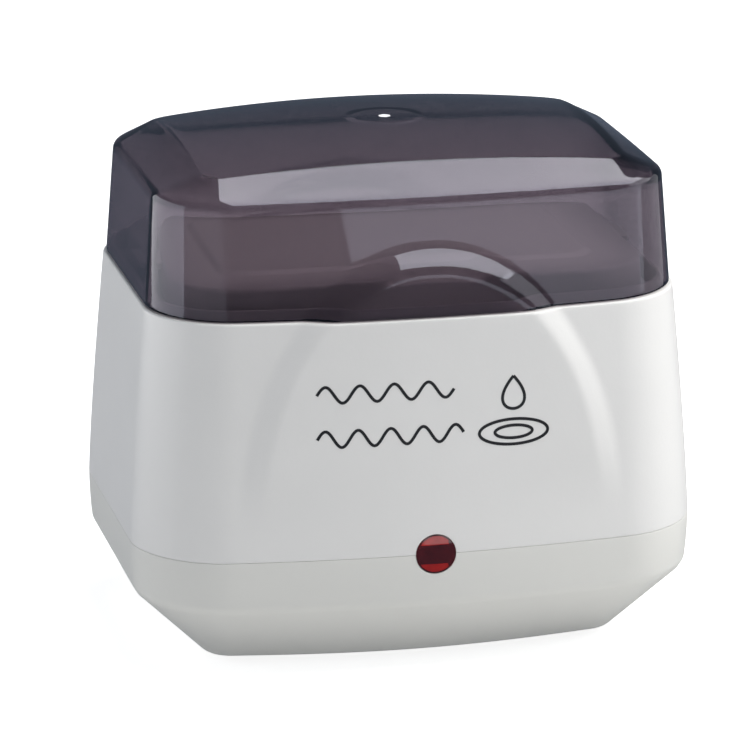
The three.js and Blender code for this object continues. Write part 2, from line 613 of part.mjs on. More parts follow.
// One ring of the roof: the top panel's outline, drawn at a share of its size, on the crowned surface.
function roofRing(share, inset) {
  const a = ROOF_PANEL.a - inset;
  const b = ROOF_PANEL.b - inset;
  const r = ROOF_PANEL.r;
  const flat = a - r;
  const shoulderFlat = PLAN_SHOULDER.a - PLAN_SHOULDER.r;
  const bulge = (x) => ROOF_PANEL.bow * (1 - (x / ROOF_PANEL.a) ** 2);
  const places = frontStations(Z_SHOULDER, shoulderFlat, 0).map((x) => (x * flat) / shoulderFlat);
  const quarter = places.map((x) => [x, b + bulge(x)]);
  for (let i = 1; i <= CORNER_STEPS; i++) {
    const turn = ((i / CORNER_STEPS) * Math.PI) / 2;
    const x = flat + r * Math.sin(turn);
    quarter.push([x, b - r + r * Math.cos(turn) + bulge(x)]);
  }
  const scaled = quarter.map(([x, y]) => [x * share, y * share]);
  return mirrored(scaled, (x, y) => crownHeight(x, y) - inset);
}

// The cover's outer form, or with an inset the hollow inside it, which starts below the rim.
function coverForm(inset) {
  const rim = Z_LEDGE + COVER_GAP;
  const apex = Z_SEAM + ARCH.height;
  const belowApex = [9, 6.5, 4, 2, 0.7, 0].map((drop) => apex - drop);
  const walls = [rim, rim + 5, ...belowApex, apex + 6];
  const rings = walls.map((z) => bodyRing(z, inset, true));
  if (inset > 0) rings[0] = bodyRing(rim, inset, true, rim - 1);
  const shoulder = Z_SHOULDER - inset * 0.6;
  rings.push(bodyRing(Z_SHOULDER - SHOULDER_ROUND, inset, true, shoulder - SHOULDER_ROUND));
  rings.push(bodyRing(Z_SHOULDER, inset + SHOULDER_ROUND, true, shoulder + SHOULDER_ROUND / 2));
  for (const share of [1, 0.75, 0.5, 0.25]) rings.push(roofRing(share, inset));
  rings.top = crownHeight(0, 0) - inset;
  return loft(rings);
}

const cover = () => coverForm(0).subtract(coverForm(WALL));

// ---------------------------------------------------------------- assembly

const group = new THREE.Group();

function add(name, solid, material) {
  const mesh = new THREE.Mesh(geometryOf(solid), material);
  mesh.name = name;
  group.add(mesh);
}

add("base_shell", baseShell(), WHITE);
add("housing", housing(), WHITE);
add("well_liner", wellLiner(), WELL_WHITE);
add("inner_tub", innerTub(), TUB_WHITE);
add("tub_lid_gasket", tubLidGasket(), SILICONE);
add("tub_lid", tubLid(), TUB_WHITE);
add("cover", cover(), SMOKED);

const CORNER_NAMES = ["front_left", "front_right", "rear_left", "rear_right"];
FOUR_CORNERS.forEach(([sx, sy], i) => {
  add(`foot_${CORNER_NAMES[i]}`, foot(sx * FOOT_X, sy * FOOT_Y), RUBBER);
  add(`base_screw_${CORNER_NAMES[i]}`, baseScrew(sx * SCREW_X, sy * SCREW_Y), STEEL);
});

add("heating_plate", heatingPlate(), ALUMINIUM);
add("ptc_heater", ptcHeater(), CERAMIC);
add("insulation_pad", insulationPad(), MICA);
add("heater_clamp", heaterClamp(), STEEL);
add("clamp_screw_left", clampScrew(-1), STEEL);
add("clamp_screw_right", clampScrew(1), STEEL);
add("thermal_fuse", thermalFuse(), SLEEVE);

add("indicator_lens", indicatorLens(), RED_LENS);
add("neon_lamp", neonLamp(), GLASS);
add("lamp_holder", lampHolder(), BLACK_PLASTIC);
add("lamp_resistor", lampResistor(), RESISTOR);

add("inlet_socket", inletSocket(), BLACK_PLASTIC);
add("inlet_pin_left", inletPin(-1), BRASS);
add("inlet_pin_right", inletPin(1), BRASS);
add("terminal_block", terminalBlock(), BLACK_PLASTIC);
for (const [name, points] of Object.entries(LEADS)) {
  add(name, wire(LEAD_RADIUS, points), name.endsWith("left") || name.startsWith("live") ? LIVE : NEUTRAL);
}

add("rating_plate", ratingPlate(), PLATE_SILVER);

export default group;
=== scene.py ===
"""The looks of a yogurt maker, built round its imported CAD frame. Blender 4.5, metres, +Z up, front at -Y."""

import json
import math

import bmesh
import bpy
import numpy as np
from mathutils import Matrix, Vector


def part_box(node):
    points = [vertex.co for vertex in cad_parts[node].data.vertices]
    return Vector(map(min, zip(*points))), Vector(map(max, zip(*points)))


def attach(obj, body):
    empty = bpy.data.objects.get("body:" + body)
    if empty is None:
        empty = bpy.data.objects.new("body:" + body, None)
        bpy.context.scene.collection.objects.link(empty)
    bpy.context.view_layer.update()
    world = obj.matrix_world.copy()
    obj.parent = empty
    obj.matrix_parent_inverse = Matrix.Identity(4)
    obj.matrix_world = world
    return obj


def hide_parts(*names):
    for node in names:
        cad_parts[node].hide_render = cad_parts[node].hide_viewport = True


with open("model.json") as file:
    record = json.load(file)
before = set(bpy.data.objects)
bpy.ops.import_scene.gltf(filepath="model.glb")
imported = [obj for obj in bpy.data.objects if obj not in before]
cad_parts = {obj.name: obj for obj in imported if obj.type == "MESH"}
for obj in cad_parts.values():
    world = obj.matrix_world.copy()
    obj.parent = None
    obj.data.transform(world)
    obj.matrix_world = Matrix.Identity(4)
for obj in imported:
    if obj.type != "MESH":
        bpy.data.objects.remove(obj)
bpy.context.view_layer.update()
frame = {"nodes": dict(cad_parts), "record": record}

# ------------------------------------------------------------------ sizes, in millimetres

MM = 0.001


def box_mm(node):
    """The lowest and highest corners of a CAD node, in millimetres."""
    low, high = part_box(node)
    return np.array(low) / MM, np.array(high) / MM


GAP = 0.3  # between pieces that touch
WALL = 2.2
BASE_LOW, BASE_HIGH = box_mm("base_shell")
HOUSING_LOW, HOUSING_HIGH = box_mm("housing")
COVER_LOW, COVER_HIGH = box_mm("cover")
TUB_LOW, TUB_HIGH = box_mm("inner_tub")
LID_LOW, LID_HIGH = box_mm("tub_lid")
LINER_HIGH = box_mm("well_liner")[1]
LENS_LOW, LENS_HIGH = box_mm("indicator_lens")

HALF_WIDTH = BASE_HIGH[0]
HALF_DEPTH = 63.7
FRONT_BOW = 7.8
BOW_POWER = 1.2
WALL_BOW = 7.4
Z_BASE = BASE_LOW[2]
Z_CHAMFER = Z_BASE + 23.4
Z_SEAM = HOUSING_LOW[2] - GAP / 2
Z_RIM = COVER_LOW[2]
Z_LEDGE = Z_RIM - GAP
CROWN_X = 4.0
CROWN_Y = 3.8
Z_ROOF = COVER_HIGH[2] - CROWN_X - CROWN_Y
Z_SHOULDER = Z_ROOF - 4.9
LIP_HEIGHT = HOUSING_HIGH[2] - Z_LEDGE

# half width, half depth of the flat walls, corner radius and bow of the front, at each level
PLAN_BOTTOM = np.array([65.7, 39.6, 7.0, 7.4])
PLAN_CHAMFER = np.array([HALF_WIDTH - 0.8, 62.7, 26.6, 7.7])
PLAN_SEAM = np.array([HALF_WIDTH, HALF_DEPTH, 26.9, FRONT_BOW])
PLAN_LEDGE = np.array([84.6, 58.5, 24.3, WALL_BOW])
COVER_SETBACK = 0.8
PLAN_RIM = PLAN_LEDGE - [COVER_SETBACK, COVER_SETBACK, 0, 0]
PLAN_SHOULDER = np.array([81.3, 53.1, 21.3, 5.4])
ROOF_A, ROOF_B, ROOF_R, ROOF_BOW = 67.7, 43.2, 6.0, 2.8
WALL_SWEEP = 1.25
CHAMFER_SOFTNESS = 2.2  # how far the chamfer's edge is rounded, above and below it

ARCH_HALF_WIDTH = 61.5
ARCH_HEIGHT = 96.0
ARCH_POWER = 2.1
ARCH_BAND = 7.0
ARCH_EDGE = 0.2  # share of the band that rounds each of its edges
ARCH_FADE = (5.0, 30.0)
PANEL_AT_SEAM = 71.5
PANEL_LEAN = 0.0387
PANEL_CURVE = 0.0008

# points in a quarter of a ring: along the front, round the corner, along the side
FRONT_POINTS = 78
CORNER_POINTS = 26
SIDE_POINTS = 10
LEVEL_STEP = 0.9

# ------------------------------------------------------------------ the body's form


def mix(a, b, t):
    return a + (b - a) * t


def smooth(t):
    t = np.clip(t, 0.0, 1.0)
    return t * t * (3 - 2 * t)


def raw_plan(z):
    """Plan of the two white shells at a height, with a sharp chamfer."""
    if z < Z_CHAMFER:
        return mix(PLAN_BOTTOM, PLAN_CHAMFER, (z - Z_BASE) / (Z_CHAMFER - Z_BASE))
    if z < Z_SEAM:
        t = (z - Z_CHAMFER) / (Z_SEAM - Z_CHAMFER)
        return mix(PLAN_CHAMFER, PLAN_SEAM, 1 - (1 - t) ** 2)
    t = (z - Z_SEAM) / (Z_LEDGE - Z_SEAM)
    return mix(PLAN_SEAM, PLAN_LEDGE, t**WALL_SWEEP)


def plan_at(z, cover):
    if cover:
        return mix(PLAN_RIM, PLAN_SHOULDER, (z - Z_LEDGE) / (Z_SHOULDER - Z_LEDGE))
    if abs(z - Z_CHAMFER) > CHAMFER_SOFTNESS:
        return raw_plan(z)
    window = np.linspace(-CHAMFER_SOFTNESS, CHAMFER_SOFTNESS, 9)
    edge = CHAMFER_SOFTNESS - abs(z - Z_CHAMFER)
    near = [raw_plan(z + w) for w in window * edge / CHAMFER_SOFTNESS]
    return np.mean(near, axis=0)


def arch_growth(z):
    return smooth((z - Z_SEAM - ARCH_FADE[0]) / (ARCH_FADE[1] - ARCH_FADE[0]))


def soft_ramp(t, e):
    """0 below 0, 1 above 1, straight between, with both bends rounded over e."""
    def bend(u):
        return np.where(u < -e, 0.0, np.where(u > e, u, (u + e) ** 2 / (4 * e)))
    return bend(t) - bend(t - 1)


def arch_rise(x, z, offset):
    """1 on the arch's panel, 0 outside the arch, with its band between."""
    up = np.maximum(z - Z_SEAM, 0.0)
    width = ARCH_HALF_WIDTH - offset
    height = ARCH_HEIGHT - offset
    rho = ((np.abs(x) / width) ** ARCH_POWER + (up / height) ** ARCH_POWER) ** (1 / ARCH_POWER)
    inside = np.hypot(x, up) * (1 / np.maximum(rho, 1e-6) - 1)
    inside = np.where(rho < 1e-5, ARCH_BAND * 2, inside)
    return soft_ramp(inside / ARCH_BAND, ARCH_EDGE)


def quarter(a, b, r):
    """Points of a rounded rectangle's front right quarter: x, distance from the middle plane."""
    flat = a - r
    front = np.linspace(0, flat, FRONT_POINTS, endpoint=False)
    turn = np.linspace(0, math.pi / 2, CORNER_POINTS, endpoint=False)
    side = np.linspace(b - r, 0, SIDE_POINTS + 1)
    x = np.concatenate([front, flat + r * np.sin(turn), np.full(side.shape, a)])
    y = np.concatenate([np.full(front.shape, b), b - r + r * np.cos(turn), side])
    return x, y


def mirrored(x, y):
    """A full ring, counter-clockwise from above, from the front right quarter."""
    right = np.stack([x, -y], 1)
    back_right = np.stack([x, y], 1)[-2::-1]
    back_left = np.stack([-x, y], 1)[1:]
    left = np.stack([-x, -y], 1)[-2:0:-1]
    return np.concatenate([right, back_right, back_left, left])


def body_ring(z, inset=0.0, cover=False, drawn_at=None):
    """One level of the body's form, moved inwards by inset."""
    a, b, r, bow = plan_at(z, cover)
    x, y = quarter(a - inset, b - inset, max(r - inset, 2.0))
    bulge = bow * np.maximum(1 - (x / a) ** 2, 0) ** BOW_POWER
    wall = y + bulge
    panel = PANEL_AT_SEAM - PANEL_LEAN * (z - Z_SEAM) - PANEL_CURVE * x**2 - inset
    if cover:
        panel = panel - COVER_SETBACK
    rise = arch_growth(z) * arch_rise(x, z, 0.6 * inset) * (y > b - inset - 0.5)
    y = wall + rise * np.maximum(panel - wall, 0)
    flat = mirrored(x, y)
    height = z if drawn_at is None else drawn_at
    return np.column_stack([flat, np.full(len(flat), height)])


def rect_ring(a, b, r, z):
    flat = mirrored(*quarter(a, b, r))
    return np.column_stack([flat, np.full(len(flat), z)])


def front_surface(x, z):
    """y of the front at a place on it, for what is printed there."""
    a, b, _, bow = plan_at(z, cover=False)
    wall = b + bow * max(1 - (x / a) ** 2, 0) ** BOW_POWER
    panel = PANEL_AT_SEAM - PANEL_LEAN * (z - Z_SEAM) - PANEL_CURVE * x**2
    rise = arch_growth(z) * float(arch_rise(np.array(x), z, 0.0))
    return -(wall + rise * max(panel - wall, 0))


# ------------------------------------------------------------------ meshes


def make_object(name, vertices, faces, smooth_shading=True):
    mesh = bpy.data.meshes.new(name)
    mesh.from_pydata([Vector(v) * MM for v in vertices], [], faces)
    mesh.update()
    bm = bmesh.new()
    bm.from_mesh(mesh)
    bmesh.ops.recalc_face_normals(bm, faces=bm.faces)
    bm.to_mesh(mesh)
    bm.free()
    if smooth_shading:
        mesh.polygons.foreach_set("use_smooth", [True] * len(mesh.polygons))
    obj = bpy.data.objects.new(name, mesh)
    bpy.context.scene.collection.objects.link(obj)
    return obj


def skin(name, rings, caps=False):
    """A closed body over rings of equal length. With caps, the first and last ring close on a point.
    Without, the last ring joins the first."""
    count = len(rings[0])
    vertices = np.concatenate(rings)
    total = len(rings) - 1 if caps else len(rings)
    faces = []
    for level in range(total):
        here = level * count
        above = ((level + 1) % len(rings)) * count
        for i in range(count):
            j = (i + 1) % count
            faces.append((here + i, here + j, above + j, above + i))
    vertices = [tuple(v) for v in vertices]
    if caps:
        for ring, start, flip in ((rings[0], 0, True), (rings[-1], (len(rings) - 1) * count, False)):
            centre = len(vertices)
            vertices.append(tuple(np.mean(ring, axis=0)))
            for i in range(count):
                edge = (start + i, start + (i + 1) % count)
                faces.append((centre, *edge[::-1]) if flip else (centre, *edge))
    return make_object(name, vertices, faces)


def between(ring_a, ring_b, steps):
    """Rings on straight lines from one ring to another, without either."""
    return [mix(ring_a, ring_b, k / steps) for k in range(1, steps)]


def bend(a, corner, b, steps=5):
    """Rings on a rounded corner from ring a to ring b, both included."""
    out = []
    for k in range(steps + 1):
        t = k / steps
        out.append((1 - t) ** 2 * a + 2 * t * (1 - t) * corner + t**2 * b)
    return out


def towards(ring_a, ring_b, distance):
    """Ring a moved towards ring b by a distance."""
    step = ring_b - ring_a
    length = np.linalg.norm(step, axis=1, keepdims=True)
    return ring_a + step * (distance / np.maximum(length, 1e-9))


def rounded_path(corners, radii, steps=4):
    """Rings through a list of corner rings, each corner rounded by its radius (0 keeps it sharp)."""
    rings = []
    last = len(corners) - 1
    for k, (ring, radius) in enumerate(zip(corners, radii)):
        if radius <= 0 or k in (0, last):
            rings.append(ring)
            continue
        start = towards(ring, corners[k - 1], radius)
        end = towards(ring, corners[k + 1], radius)
        rings += bend(start, ring, end, steps)
    return rings


def cut(obj, cutters, operation="DIFFERENCE"):
    """Cuts the cutters out of the object, or joins them to it, and removes them."""
    for cutter in cutters:
        modifier = obj.modifiers.new("cut", "BOOLEAN")
        modifier.operation = operation
        modifier.solver = "EXACT"
        modifier.object = cutter
    bpy.context.view_layer.update()
    evaluated = obj.evaluated_get(bpy.context.evaluated_depsgraph_get())
    mesh = bpy.data.meshes.new_from_object(evaluated)
    obj.modifiers.clear()
    obj.data = mesh
    for cutter in cutters:
        bpy.data.objects.remove(cutter)
    return obj


def shade_by_angle(obj, degrees=32):
    """Smooth shading, with edges sharper than the angle kept sharp."""
    bm = bmesh.new()
    bm.from_mesh(obj.data)
    for face in bm.faces:
        face.smooth = True
    for edge in bm.edges:
        edge.smooth = not (edge.is_manifold and edge.calc_face_angle(0) > math.radians(degrees))
    bm.to_mesh(obj.data)
    bm.free()


def turned(name, profile, axis_at, sides=64, along="y"):
    """A lathe body: [radius, position] pairs, starting and ending on the axis."""
    vertices = []
    faces = []
    inner = profile[1:-1]
    for radius, place in inner:
        for k in range(sides):
            angle = 2 * math.pi * k / sides
            u, v = radius * math.cos(angle), radius * math.sin(angle)
            vertices.append((u, place, v) if along == "y" else (u, v, place))
    for level in range(len(inner) - 1):
        for k in range(sides):
            j = (k + 1) % sides
            here, above = level * sides, (level + 1) * sides
            faces.append((here + k, here + j, above + j, above + k))
    last = (len(inner) - 1) * sides
    for place, start, flip in ((profile[0][1], 0, True), (profile[-1][1], last, False)):
        centre = len(vertices)
        vertices.append((0, place, 0) if along == "y" else (0, 0, place))
        for k in range(sides):
            edge = (start + k, start + (k + 1) % sides)
            faces.append((centre, *edge[::-1]) if flip else (centre, *edge))
    moved = [tuple(np.array(v) + axis_at) for v in vertices]
    return make_object(name, moved, faces)


def cutter_rod(radius, place, y0, y1):
    x, z = place
    return turned("cutter", [(0, y0), (radius, y0), (radius, y1), (0, y1)], np.array([x, 0, z]), 72)


def cutter_post(radius, x, y, z0, z1):
    profile = [(0, z0), (radius, z0), (radius, z1), (0, z1)]
    return turned("cutter", profile, np.array([x, y, 0]), 48, along="z")


def cutter_box(x0, x1, y0, y1, z0, z1):
    corners = [(x, y, z) for x in (x0, x1) for y in (y0, y1) for z in (z0, z1)]
    faces = [(0, 1, 3, 2), (4, 6, 7, 5), (0, 4, 5, 1), (2, 3, 7, 6), (0, 2, 6, 4), (1, 5, 7, 3)]
    return make_object("cutter", corners, faces, smooth_shading=False)


# ------------------------------------------------------------------ materials


def new_material(name):
    material = bpy.data.materials.new(name)
    material.use_nodes = True
    nodes = material.node_tree.nodes
    shader = nodes["Principled BSDF"]
    return material, nodes, material.node_tree.links, shader


def noise(nodes, links, scale, detail=4.0):
    coords = nodes.new("ShaderNodeTexCoord")
    texture = nodes.new("ShaderNodeTexNoise")
    texture.inputs["Scale"].default_value = scale
    texture.inputs["Detail"].default_value = detail
    texture.inputs["Roughness"].default_value = 0.5
    links.new(coords.outputs["Object"], texture.inputs["Vector"])
    return texture.outputs["Fac"]


def remap(nodes, links, source, low, high):
    """A 0 to 1 value spread over another range."""
    node = nodes.new("ShaderNodeMapRange")
    node.inputs["To Min"].default_value = low
    node.inputs["To Max"].default_value = high
    links.new(source, node.inputs["Value"])
    return node.outputs["Result"]


def two_tone(nodes, links, source, dark, light):
    ramp = nodes.new("ShaderNodeValToRGB")
    ramp.color_ramp.elements[0].position = 0.3
    ramp.color_ramp.elements[1].position = 0.7
    ramp.color_ramp.elements[0].color = (*dark, 1)
    ramp.color_ramp.elements[1].color = (*light, 1)
    links.new(source, ramp.inputs["Fac"])
    return ramp.outputs["Color"]


def bump(nodes, links, source, shader, distance):
    node = nodes.new("ShaderNodeBump")
    node.inputs["Strength"].default_value = 1.0
    node.inputs["Distance"].default_value = distance
    links.new(source, node.inputs["Height"])
    links.new(node.outputs["Normal"], shader.inputs["Normal"])


GRAIN = 900.0  # fineness of the moulded surface


def moulded_plastic(name, color, roughness, spread=0.015, depth=0.00002):
    """Injection-moulded plastic: slight tone changes, a fine grain and uneven gloss."""
    material, nodes, links, shader = new_material(name)
    tone = noise(nodes, links, 22.0)
    light = tuple(min(1.0, c * (1 + spread)) for c in color)
    dark = tuple(c * (1 - spread) for c in color)
    links.new(two_tone(nodes, links, tone, dark, light), shader.inputs["Base Color"])
    gloss = noise(nodes, links, 60.0, 6.0)
    links.new(remap(nodes, links, gloss, roughness * 0.85, roughness * 1.15), shader.inputs["Roughness"])
    bump(nodes, links, noise(nodes, links, GRAIN, 2.0), shader, depth)
    shader.inputs["IOR"].default_value = 1.5
    return material


def smoked_plastic(name, rough_low, rough_high, tint=(0.97, 0.96, 0.97)):
    """Clear smoked plastic: the smoke is in its depth, so it darkens where more of it is looked through."""
    material, nodes, links, shader = new_material(name)
    shader.inputs["Transmission Weight"].default_value = 1.0
    shader.inputs["IOR"].default_value = 1.53
    # The bluish specular tint colours every reflection on the cover: painted bluish light in its reflections.
    shader.inputs["Specular Tint"].default_value = (0.82, 0.86, 1.0, 1)
    tone = noise(nodes, links, 9.0)
    light = tuple(min(1.0, c * 1.03) for c in tint)
    links.new(two_tone(nodes, links, tone, tint, light), shader.inputs["Base Color"])
    gloss = noise(nodes, links, 120.0, 8.0)
    links.new(remap(nodes, links, gloss, rough_low, rough_high), shader.inputs["Roughness"])
    bump(nodes, links, noise(nodes, links, 14.0, 1.0), shader, 0.00004)
    lamps = nodes.new("ShaderNodeLightPath")
    through = nodes.new("ShaderNodeBsdfTransparent")
    through.inputs["Color"].default_value = (0.98, 0.98, 0.98, 1)
    switch = nodes.new("ShaderNodeMixShader")
    links.new(lamps.outputs["Is Shadow Ray"], switch.inputs[0])
    links.new(shader.outputs["BSDF"], switch.inputs[1])
    links.new(through.outputs["BSDF"], switch.inputs[2])
    links.new(switch.outputs["Shader"], nodes["Material Output"].inputs["Surface"])
    smoke = nodes.new("ShaderNodeVolumeAbsorption")
    smoke.inputs["Color"].default_value = (0.2, 0.12, 0.19, 1)
    smoke.inputs["Density"].default_value = 640
    links.new(smoke.outputs["Volume"], nodes["Material Output"].inputs["Volume"])
    return material


def metal(name, color, roughness):
    """Brushed or plated metal, with fine drawn lines along X."""
    material, nodes, links, shader = new_material(name)
    shader.inputs["Metallic"].default_value = 1.0
    coords = nodes.new("ShaderNodeTexCoord")
    stretch = nodes.new("ShaderNodeMapping")
    stretch.inputs["Scale"].default_value = (40, 900, 900)
    lines = nodes.new("ShaderNodeTexNoise")
    lines.inputs["Scale"].default_value = 1.0
    links.new(coords.outputs["Object"], stretch.inputs["Vector"])
    links.new(stretch.outputs["Vector"], lines.inputs["Vector"])
    dark = tuple(c * 0.9 for c in color)
    links.new(two_tone(nodes, links, lines.outputs["Fac"], dark, color), shader.inputs["Base Color"])
    gloss = remap(nodes, links, lines.outputs["Fac"], roughness * 0.7, roughness * 1.3)
    links.new(gloss, shader.inputs["Roughness"])
    bump(nodes, links, lines.outputs["Fac"], shader, 0.00002)
    return material


def red_glass(name, dark, light, transmission):
    material, nodes, links, shader = new_material(name)
    tone = noise(nodes, links, 400.0)
    links.new(two_tone(nodes, links, tone, dark, light), shader.inputs["Base Color"])
    shader.inputs["Roughness"].default_value = 0.12
    shader.inputs["Transmission Weight"].default_value = transmission
    shader.inputs["Coat Weight"].default_value = 0.6
    shader.inputs["Coat Roughness"].default_value = 0.04
    bump(nodes, links, noise(nodes, links, 300.0), shader, 0.00002)
    return material


MATERIALS = {
    "white_body": moulded_plastic("white_body", (0.72, 0.714, 0.698), 0.33),
    "well_white": moulded_plastic("well_white", (0.8, 0.8, 0.78), 0.42),
    "tub_white": moulded_plastic("tub_white", (0.72, 0.715, 0.695), 0.35),
    "smoked_cover": smoked_plastic("smoked_cover", 0.015, 0.05),
    "silicone": moulded_plastic("silicone", (0.72, 0.72, 0.7), 0.7),
    "red_lens": red_glass("red_lens", (0.3, 0.01, 0.008), (0.42, 0.016, 0.012), 0.15),
    "lamp_glass": red_glass("lamp_glass", (0.75, 0.65, 0.5), (0.8, 0.7, 0.55), 0.8),
    "aluminium": metal("aluminium", (0.72, 0.73, 0.74), 0.35),
    "steel": metal("steel", (0.55, 0.56, 0.58), 0.3),
    "brass": metal("brass", (0.76, 0.6, 0.3), 0.25),
    "rubber": moulded_plastic("rubber", (0.03, 0.03, 0.031), 0.8, spread=0.1, depth=0.00006),
    "ceramic": moulded_plastic("ceramic", (0.45, 0.28, 0.13), 0.7, spread=0.08),
    "mica": moulded_plastic("mica", (0.55, 0.45, 0.26), 0.5, spread=0.12),
    "sleeve": moulded_plastic("sleeve", (0.6, 0.57, 0.52), 0.85, spread=0.08, depth=0.0001),
    "black_plastic": moulded_plastic("black_plastic", (0.018, 0.018, 0.02), 0.45, spread=0.15),
    "resistor": moulded_plastic("resistor", (0.55, 0.42, 0.25), 0.5, spread=0.08),
    "brown_wire": moulded_plastic("brown_wire", (0.15, 0.05, 0.02), 0.5, spread=0.08),
    "blue_wire": moulded_plastic("blue_wire", (0.025, 0.08, 0.32), 0.5, spread=0.08),
    "plate_silver": moulded_plastic("plate_silver", (0.5, 0.51, 0.52), 0.45, spread=0.05),
}
# A near-black red on parts of the lens: a painted reflection across its window, and painted shade round its
# rim and on its right side.
LENS_PAINTED_REFLECTION_AND_SHADE = red_glass("lens_painted_reflection_and_shade", (0.045, 0.004, 0.006), (0.08, 0.007, 0.01), 0.1)
# The lower shell's white is a darker, warmer copy of the housing's white: painted shade for its low chamfer
# that faces the floor.
BASE_WHITE_PAINTED_SHADE = moulded_plastic("base_white_painted_shade", (0.68, 0.676, 0.642), 0.36)
# A whitish colour on the moulding gate's mark in the middle of the roof. The mark is real; its whiteness is a
# painted glint.
GATE_PAINTED_GLINT = moulded_plastic("gate_mark_painted_glint", (0.8, 0.81, 0.86), 0.5, spread=0.2)
INK = moulded_plastic("print_ink", (0.012, 0.012, 0.014), 0.4, spread=0.2)


def finish_piece(obj, slot, body, *nodes):
    """Gives a new piece its material, its body and the CAD nodes that it stands for."""
    obj.data.materials.clear()
    obj.data.materials.append(MATERIALS[slot])
    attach(obj, body)
    if nodes:
        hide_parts(*nodes)
    return obj


# ------------------------------------------------------------------ the two white shells


def levels(z0, z1, step=LEVEL_STEP):
    """Heights from z0 to z1, both included, about a step apart."""
    return np.linspace(z0, z1, max(2, round((z1 - z0) / step) + 1))


EDGE = 0.5  # rounding of the shells' free edges
SEAM_EDGE = 0.18
SEAM_GAP = 0.04  # half of the fine line between the shells
LENS_RADIUS = 6.25
SCREW_X, SCREW_Y = 42.0, 18.0
FOOT_X, FOOT_Y = 54.0, 28.0
SCREW_HOLE = 3.6
FOOT_RECESS, FOOT_RECESS_DEPTH = 6.3, 1.3
PLATE_CLEAR, PLATE_RECESS_DEPTH = 0.5, 0.8
INLET_A, INLET_B = 9.0, 5.6
INLET_DEPTH = 9.0
LENS_HOLE_DEPTH = 10.0
FLOOR = 2.5
PAST = 2.0  # how far a cutter runs on past the outside of a front
BELOW = -1.0  # where a cutter from below starts


def lens_cutter():
    front = -PANEL_AT_SEAM - PAST
    return cutter_rod(LENS_RADIUS + GAP * 0.6, (0, Z_SEAM), front, front + PAST + LENS_HOLE_DEPTH)


def build_base_shell():
    top = Z_SEAM - SEAM_GAP
    flat = body_ring(Z_BASE, 1.4, drawn_at=Z_BASE)
    side = body_ring(Z_BASE + 1.6)
    low = body_ring(Z_BASE, 0.0, drawn_at=Z_BASE)
    rings = [mix(flat * [0, 0, 1], flat, share) for share in (0.02, 0.3, 0.6, 0.85)]
    rings += bend(flat, low, side)
    rings += [body_ring(z) for z in levels(Z_BASE + 1.6, top - SEAM_EDGE)[1:]]
    inner_top = body_ring(top - EDGE, WALL)
    rings += bend(rings[-1], body_ring(top), body_ring(top, SEAM_EDGE), 3)[1:]
    rings += bend(body_ring(top, WALL - EDGE), body_ring(top, WALL), inner_top, 3)
    rings += [body_ring(z, WALL) for z in levels(top - EDGE, Z_CHAMFER, 3.0)[1:]]
    floor = body_ring(Z_BASE, WALL, drawn_at=Z_BASE + FLOOR)
    rings += [floor] + [mix(floor * [0, 0, 1], floor, share) for share in (0.8, 0.5, 0.25, 0.02)]
    shell = skin("base_shell_skin", rings, caps=True)
    cutters = [lens_cutter()]
    z_inlet = (box_mm("inlet_socket")[0][2] + box_mm("inlet_socket")[1][2]) / 2
    y_inlet = (PANEL_AT_SEAM - INLET_DEPTH, PANEL_AT_SEAM + PAST)
    cutters.append(cutter_box(-INLET_A, INLET_A, *y_inlet, z_inlet - INLET_B, z_inlet + INLET_B))
    foot_top = Z_BASE + FOOT_RECESS_DEPTH
    for sx in (-1, 1):
        for sy in (-1, 1):
            cutters.append(cutter_post(SCREW_HOLE, sx * SCREW_X, sy * SCREW_Y, BELOW, Z_BASE + FLOOR + 1))
            cutters.append(cutter_post(FOOT_RECESS, sx * FOOT_X, sy * FOOT_Y, BELOW, foot_top))
    plate_low, plate_high = box_mm("rating_plate")
    x_plate = (plate_low[0] - PLATE_CLEAR, plate_high[0] + PLATE_CLEAR)
    y_plate = (plate_low[1] - PLATE_CLEAR, plate_high[1] + PLATE_CLEAR)
    cutters.append(cutter_box(*x_plate, *y_plate, BELOW, Z_BASE + PLATE_RECESS_DEPTH))
    cut(shell, cutters)
    shade_by_angle(shell)
    finish_piece(shell, "white_body", "base", "base_shell")
    # The lower shell gets the darker, warmer copy of the white: painted shade.
    shell.data.materials[0] = BASE_WHITE_PAINTED_SHADE
    return shell


LEDGE_ROUND = 0.9
LIP_INSET = WALL + 0.4
LIP_THICKNESS = 1.5
POCKET_DEPTH = 5.2
POCKET_INSET = 9.0
POCKET_THICKNESS = 2.5


